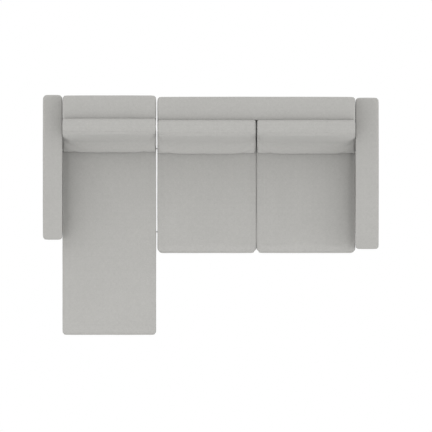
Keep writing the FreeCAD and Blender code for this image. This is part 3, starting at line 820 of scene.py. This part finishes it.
def backCushion(name, seed):
    s = backCushionSizes
    low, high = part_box(name + "_cover")
    (leftEdge, leftReach), (rightEdge, rightReach) = backEnds[name]
    low.x -= leftReach
    high.x += rightReach
    backNode = backOf[name]
    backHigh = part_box(backNode)[1]
    edgeY = backHigh.y - backSlope["topThick"]

    def rearLimit(z):
        # the rear lies on the back and bulges over its top edge
        over = np.clip((z - backHigh.z) / s["overhangRise"], 0, 1)
        return backFace(backNode, z) - s["liftOff"] + s["overhang"] * over * over * (3 - 2 * over)

    rounds = ((leftEdge, rightEdge), (s["frontEdge"], s["rearEdge"]), (s["lowEdge"], s["topEdge"]))
    block = Block((low.x, 0.0, low.z), (high.x, s["depth"], high.z), rounds, s["step"])
    share = block.share()
    v = block.points[:, 1] / s["depth"]
    z = block.points[:, 2]
    rise = (z - low.z) / (high.z - low.z)
    frontY = edgeY - s["footBack"] + (s["footBack"] - s["ridgeBack"]) * frontLean(rise)
    rearY = rearLimit(z)
    across = np.clip(1 - share[:, 0] ** 2, 0, 1)
    frontY = frontY - s["belly"] * np.sin(rise * math.pi) * across ** 0.3
    block.points[:, 1] = frontY + (rearY - frontY) * v
    block.low.y, block.high.y = low.y, high.y
    frontSeam = block.rim(1, 0)
    rearSeam = block.rim(1, 1)
    rear = [n for (i, j, k), n in block.index.items() if j == block.count[1] or k == 0]
    block.points = inflate(block, set(frontSeam) | set(rear), s["cap"])
    block.points = keepInside(block.points, low, high, (0.0, s["overhang"], 0.002))
    block.points[:, 1] = np.minimum(block.points[:, 1], rearLimit(block.points[:, 2]))
    mesh = block.mesh(name)
    seamLines = [[Vector(block.points[v]) for v in seam] for seam in (frontSeam, rearSeam)]
    piece = subdivided(name, mesh, cloth)
    pucker(piece, seamLines, s["gatherReach"], s["gather"], seed)
    seams = [lifted(piece.data, seam, -weltSize["sink"]) for seam in (frontSeam, rearSeam)]
    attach(piece, name)
    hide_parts(name + "_cover", name + "_core")
    sewWelt(name + "_welt", seams, name)
    return piece


for seed, name in enumerate(backOf):
    backCushion(name, seed + 11)
print("back cushions made")

# Arms and backs

wallSizes = {
    "step": 0.014,
    "edge": 0.010,
    "innerEdge": 0.005,     # the arms' upper edge on the side of the cushions
    "under": 0.003,
    "fullness": 0.0016,
    "gather": 0.0007,
    "gatherReach": 0.014,
    "fill": 0.95,
    "tuck": 0.001,
    "frontEdge": 0.006,
    "rearCorner": 0.018,
}
armRounds = {"left_arm": (0.020, 0.024), "right_arm": (0.018, 0.020)}
armBody = {"left_arm": "chaise_module", "right_arm": "two_seat_module"}
backBody = {"chaise_back": "chaise_module", "two_seat_back": "two_seat_module"}


def fuller(block, fullness):
    # the middle of each face stands a little proud of its edges
    share = block.share()
    fade = np.sqrt(np.clip(1 - share ** 2, 0, 1))
    for a in range(3):
        others = [n for n in range(3) if n != a]
        bulge = np.minimum(fade[:, others[0]], fade[:, others[1]])
        block.points[:, a] -= np.sign(share[:, a]) * fullness * (1 - bulge) * np.abs(share[:, a]) ** 6


def finishWall(name, block, seams, body, seed):
    s = wallSizes
    mesh = block.mesh(name)
    seamLines = [[Vector(block.points[v]) for v in seam] for seam in seams]
    piece = subdivided(name, mesh, cloth)
    pucker(piece, seamLines, s["gatherReach"], s["gather"], seed)
    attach(piece, body)
    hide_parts(name + "_cover", name + "_padding")
    return piece


def arm(name, seed):
    s = wallSizes
    low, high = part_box(name + "_cover")
    low.z -= s["tuck"]
    frontRound, rearRound = armRounds[name]
    sides = (s["edge"], s["innerEdge"]) if name == "left_arm" else (s["innerEdge"], s["edge"])
    block = Block(low, high, (sides, (s["edge"],) * 2, (s["under"], s["edge"])), s["step"])
    block.roundPlan((frontRound,) * 2 + (rearRound,) * 2)
    fuller(block, s["fullness"])
    faceSeam = block.rim(1, 0)
    nx, ny, nz = block.count
    topLines = [[block.index[i, j, nz] for j in range(ny + 1)] for i in (0, nx)]
    piece = finishWall(name, block, [faceSeam] + topLines, armBody[name], seed)
    sewWelt(name + "_welt", [lifted(piece.data, faceSeam, -weltSize["sink"])], armBody[name])
    rows = [lifted(piece.data, [block.index[i, j, nz] for j in range(2, ny - 1)], 0.0) for i in (3, nx - 3)]
    sewStitches(name + "_stitches", rows, armBody[name])
    return piece


def back(name, seed):
    s = wallSizes
    low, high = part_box(name + "_cover")
    low.z -= s["tuck"]
    topLow = Vector((low.x, high.y - backSlope["topThick"], low.z))
    rounds = ((s["edge"],) * 2, (s["frontEdge"], s["edge"]), (s["under"], s["edge"]))
    block = Block(topLow, high, rounds, s["step"])
    block.roundPlan((s["frontEdge"],) * 2 + (s["rearCorner"],) * 2)
    fuller(block, s["fullness"])
    frontShare = (1 - block.share()[:, 1]) / 2
    lean = backFace(name + "_cover", block.points[:, 2]) - (high.y - backSlope["topThick"])
    block.points[:, 1] += lean * frontShare
    nx, ny, nz = block.count
    seams = [[block.index[i, j, nz] for i in range(nx + 1)] for j in (0, ny)]
    piece = finishWall(name, block, seams, backBody[name], seed)
    rows = [lifted(piece.data, [block.index[i, ny, nz - 3] for i in range(2, nx - 1)], 0.0),
            lifted(piece.data, [block.index[i, 3, nz] for i in range(2, nx - 1)], 0.0)]
    sewStitches(name + "_stitches", rows, backBody[name])
    return piece


for seed, name in enumerate(armRounds):
    arm(name, seed + 21)
for seed, name in enumerate(backBody):
    back(name, seed + 31)
print("arms and backs made")

# Base panels

panelSizes = {
    "step": 0.018,
    "edge": 0.006,
    "corner": 0.016,
    "rearEdge": 0.003,
    "lowEdge": 0.004,
    "thinEdge": 0.004,
    "thin": 0.013,        # a side panel below this thickness gets the thin edge
    "fullness": 0.0015,
    "gather": 0.0005,
    "gatherReach": 0.012,
    "fill": 1.0,
}
baseBody = {"chaise": "chaise_module", "two_seat": "two_seat_module"}


def panel(module, place, seed):
    s = panelSizes
    name = module + "_" + place + "_panel"
    low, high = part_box(name)
    upright = (s["lowEdge"], s["edge"])
    if place == "front":
        rounds = ((s["corner"],) * 2, (s["edge"], s["rearEdge"]), upright)
    else:
        side = s["edge"] if high.x - low.x > s["thin"] else s["thinEdge"]
        rounds = ((side,) * 2, (s["rearEdge"],) * 2, upright)
    block = Block(low, high, rounds, s["step"], 3)
    fuller(block, s["fullness"])
    seams = [block.rim(1, 0)] if place == "front" else [block.rim(0, 0), block.rim(0, 1)]
    mesh = block.mesh(name)
    seamLines = [[Vector(block.points[v]) for v in seam] for seam in seams]
    piece = subdivided(name + "_cloth", mesh, cloth)
    pucker(piece, seamLines, s["gatherReach"], s["gather"], seed)
    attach(piece, baseBody[module])
    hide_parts(name)
    return piece


for m, module in enumerate(baseBody):
    for p, place in enumerate(("front", "left", "right")):
        panel(module, place, 41 + m * 3 + p)
print("base panels made")

# Deck pads and dust cloths


padSizes = {
    "step": 0.02,
    "edge": 0.003,
    "lowEdge": 0.002,
    "gather": 0.0005,
    "gatherReach": 0.02,
    "seed": 51,
    "fill": 0.9,
}


def deckPad(module):
    s = padSizes
    name = module + "_deck_pad"
    low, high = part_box(name)
    rounds = ((s["edge"],) * 2, (s["edge"],) * 2, (s["lowEdge"], s["edge"]))
    block = Block(low, high, rounds, s["step"], 2)
    mesh = block.mesh(name)
    piece = subdivided(name + "_felt", mesh, felt)
    pucker(piece, [[Vector(low), Vector(high)]], s["gatherReach"], s["gather"], s["seed"])
    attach(piece, baseBody[module])
    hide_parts(name)


dustSizes = {
    "step": 0.02,
    "thick": 0.0006,
    "sag": 0.0012,
    "sagReach": 0.12,
    "unevenness": 0.0003,
    "stapleInset": 0.014,
    "stapleDrop": 0.0007,
}
stapleSize = {"Pitch": 0.045, "Length": 0.011, "Thickness": 0.0006}


def dustCloth(module):
    s = dustSizes
    name = module + "_dust_cloth"
    low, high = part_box(name)
    nx = max(2, round((high.x - low.x) / s["step"]))
    ny = max(2, round((high.y - low.y) / s["step"]))
    points = []
    for j in range(ny + 1):
        for i in range(nx + 1):
            x = low.x + (high.x - low.x) * i / nx
            y = low.y + (high.y - low.y) * j / ny
            edge = min(x - low.x, high.x - x, y - low.y, high.y - y)
            sag = s["sag"] * (1 - math.exp(-edge / s["sagReach"]))
            uneven = s["unevenness"] * noise.noise(Vector((x * 20, y * 20, 0)))
            points.append((x, y, low.z - sag + uneven))
    faces = []
    for j in range(ny):
        for i in range(nx):
            a = j * (nx + 1) + i
            faces.append((a, a + nx + 1, a + nx + 2, a + 1))
    mesh = bpy.data.meshes.new(name)
    mesh.from_pydata(points, [], faces)
    mesh.update()
    work = addObject(name + "_work", mesh)
    wall = work.modifiers.new("wall", "SOLIDIFY")
    wall.thickness = s["thick"]
    wall.offset = -1.0
    made = plainMesh(work)
    bpy.data.objects.remove(work)
    piece = addObject(name + "_sheet", made, dustWeave)
    smoothShaded(made)
    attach(piece, baseBody[module])
    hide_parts(name)
    inset = s["stapleInset"]
    x0, x1 = low.x + inset, high.x - inset
    y0, y1 = low.y + inset, high.y - inset
    z = low.z - s["stapleDrop"]
    corners = [Vector((x, y, z)) for x, y in ((x0, y0), (x1, y0), (x1, y1), (x0, y1))]
    staples = sewStitches(module + "_staples", [corners], baseBody[module], True, zinc, stapleSize)


for module in baseBody:
    deckPad(module)
    dustCloth(module)
print("deck pads and dust cloths made")

# Floor, light and camera

stageLook = {
    "camera": (0.034, -0.007, 4.0),
    "orthoScale": 2.808,
    "world": 0.96,           # from overhead
    "horizon": 1.48,         # from the sides
    "underWorld": 0.80,      # what the pale ground throws back up
    "horizonEdge": 0.02,     # half the height of the step between the two
    "bounces": 1,
    "floorGlow": 1.0,
    "floorHalf": 9.0,
    "shadeInset": 0.02,      # the floor is shaded under the sofa only, from this far inside its outline
    "shadeFade": 0.05,
}


def footprints():
    # x and y ranges of what stands over the floor
    rows = []
    for first, second in (("left_arm_cover", "chaise_back_cover"), ("chaise_front_panel", "chaise_back_cover"),
                          ("two_seat_front_panel", "right_arm_cover")):
        (x0, y0, _), (x1, y1, _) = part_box(first)
        (x2, y2, _), (x3, y3, _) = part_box(second)
        front = y0 if first == "left_arm_cover" else min(y0, y2)
        rows.append((min(x0, x2), max(x1, x3), front, min(y1, y3)))
    return rows


def stageFloor():
    look = stageLook
    half = look["floorHalf"]
    mesh = bpy.data.meshes.new("floor")
    corners = [(-half, -half, 0), (half, -half, 0), (half, half, 0), (-half, half, 0)]
    mesh.from_pydata(corners, [], [(0, 1, 2, 3)])
    f = Finish("floor")
    f.tree.nodes.remove(f.shader)
    x, y, _ = f.parts(f.place())
    under = 0.0
    for x0, x1, y0, y1 in footprints():
        inside = x - x0
        for other in (x1 - x, y - y0, y1 - y):
            inside = f.node("ShaderNodeMath", {"operation": "MINIMUM"}, (inside, other))
        shade = smoothstep(inside, look["shadeInset"], look["shadeInset"] + look["shadeFade"])
        under = f.node("ShaderNodeMath", {"operation": "MAXIMUM"}, (shade, under))
    glow = f.node("ShaderNodeEmission", {}, {"Color": (1.0, 1.0, 1.0, 1.0), "Strength": look["floorGlow"]})
    matte = f.node("ShaderNodeBsdfDiffuse", {}, {"Color": (0.8, 0.8, 0.8, 1.0)})
    both = f.node("ShaderNodeMixShader", {}, (under, glow, matte))
    output = [n for n in f.tree.nodes if n.type == "OUTPUT_MATERIAL"][0]
    f.feed(output.inputs["Surface"], both)
    floor = addObject("floor", mesh, f.material)
    floor.visible_diffuse = False
    floor.visible_glossy = False


def studioLight():
    # a dome that is brighter toward its foot, over a weaker one for what the ground throws back
    world = bpy.data.worlds.new("studio")
    scene.world = world
    world.use_nodes = True
    tree = world.node_tree
    direction = tree.nodes.new("ShaderNodeTexCoord")
    split = tree.nodes.new("ShaderNodeSeparateXYZ")
    upper = tree.nodes.new("ShaderNodeMapRange")
    level = tree.nodes.new("ShaderNodeMapRange")
    tree.links.new(direction.outputs["Generated"], split.inputs["Vector"])
    tree.links.new(split.outputs["Z"], upper.inputs["Value"])
    tree.links.new(split.outputs["Z"], level.inputs["Value"])
    tree.links.new(upper.outputs["Result"], level.inputs["To Max"])
    edge = stageLook["horizonEdge"]
    for target, name, value in ((upper, "To Min", stageLook["horizon"]),
                                (upper, "To Max", stageLook["world"]),
                                (level, "From Min", -edge), (level, "From Max", edge),
                                (level, "To Min", stageLook["underWorld"])):
        target.inputs[name].default_value = value
    background = tree.nodes["Background"]
    background.inputs["Color"].default_value = (1.0, 1.0, 1.0, 1.0)
    tree.links.new(level.outputs["Result"], background.inputs["Strength"])


stageFloor()
studioLight()
scene.view_settings.view_transform = "Standard"
scene.cycles.diffuse_bounces = stageLook["bounces"]

cameraData = bpy.data.cameras.new("camera")
cameraData.type = "ORTHO"
cameraData.ortho_scale = stageLook["orthoScale"]
cameraData.clip_end = 100.0
camera = bpy.data.objects.new("camera", cameraData)
camera.location = stageLook["camera"]
scene.collection.objects.link(camera)
scene.camera = camera
print("stage set")
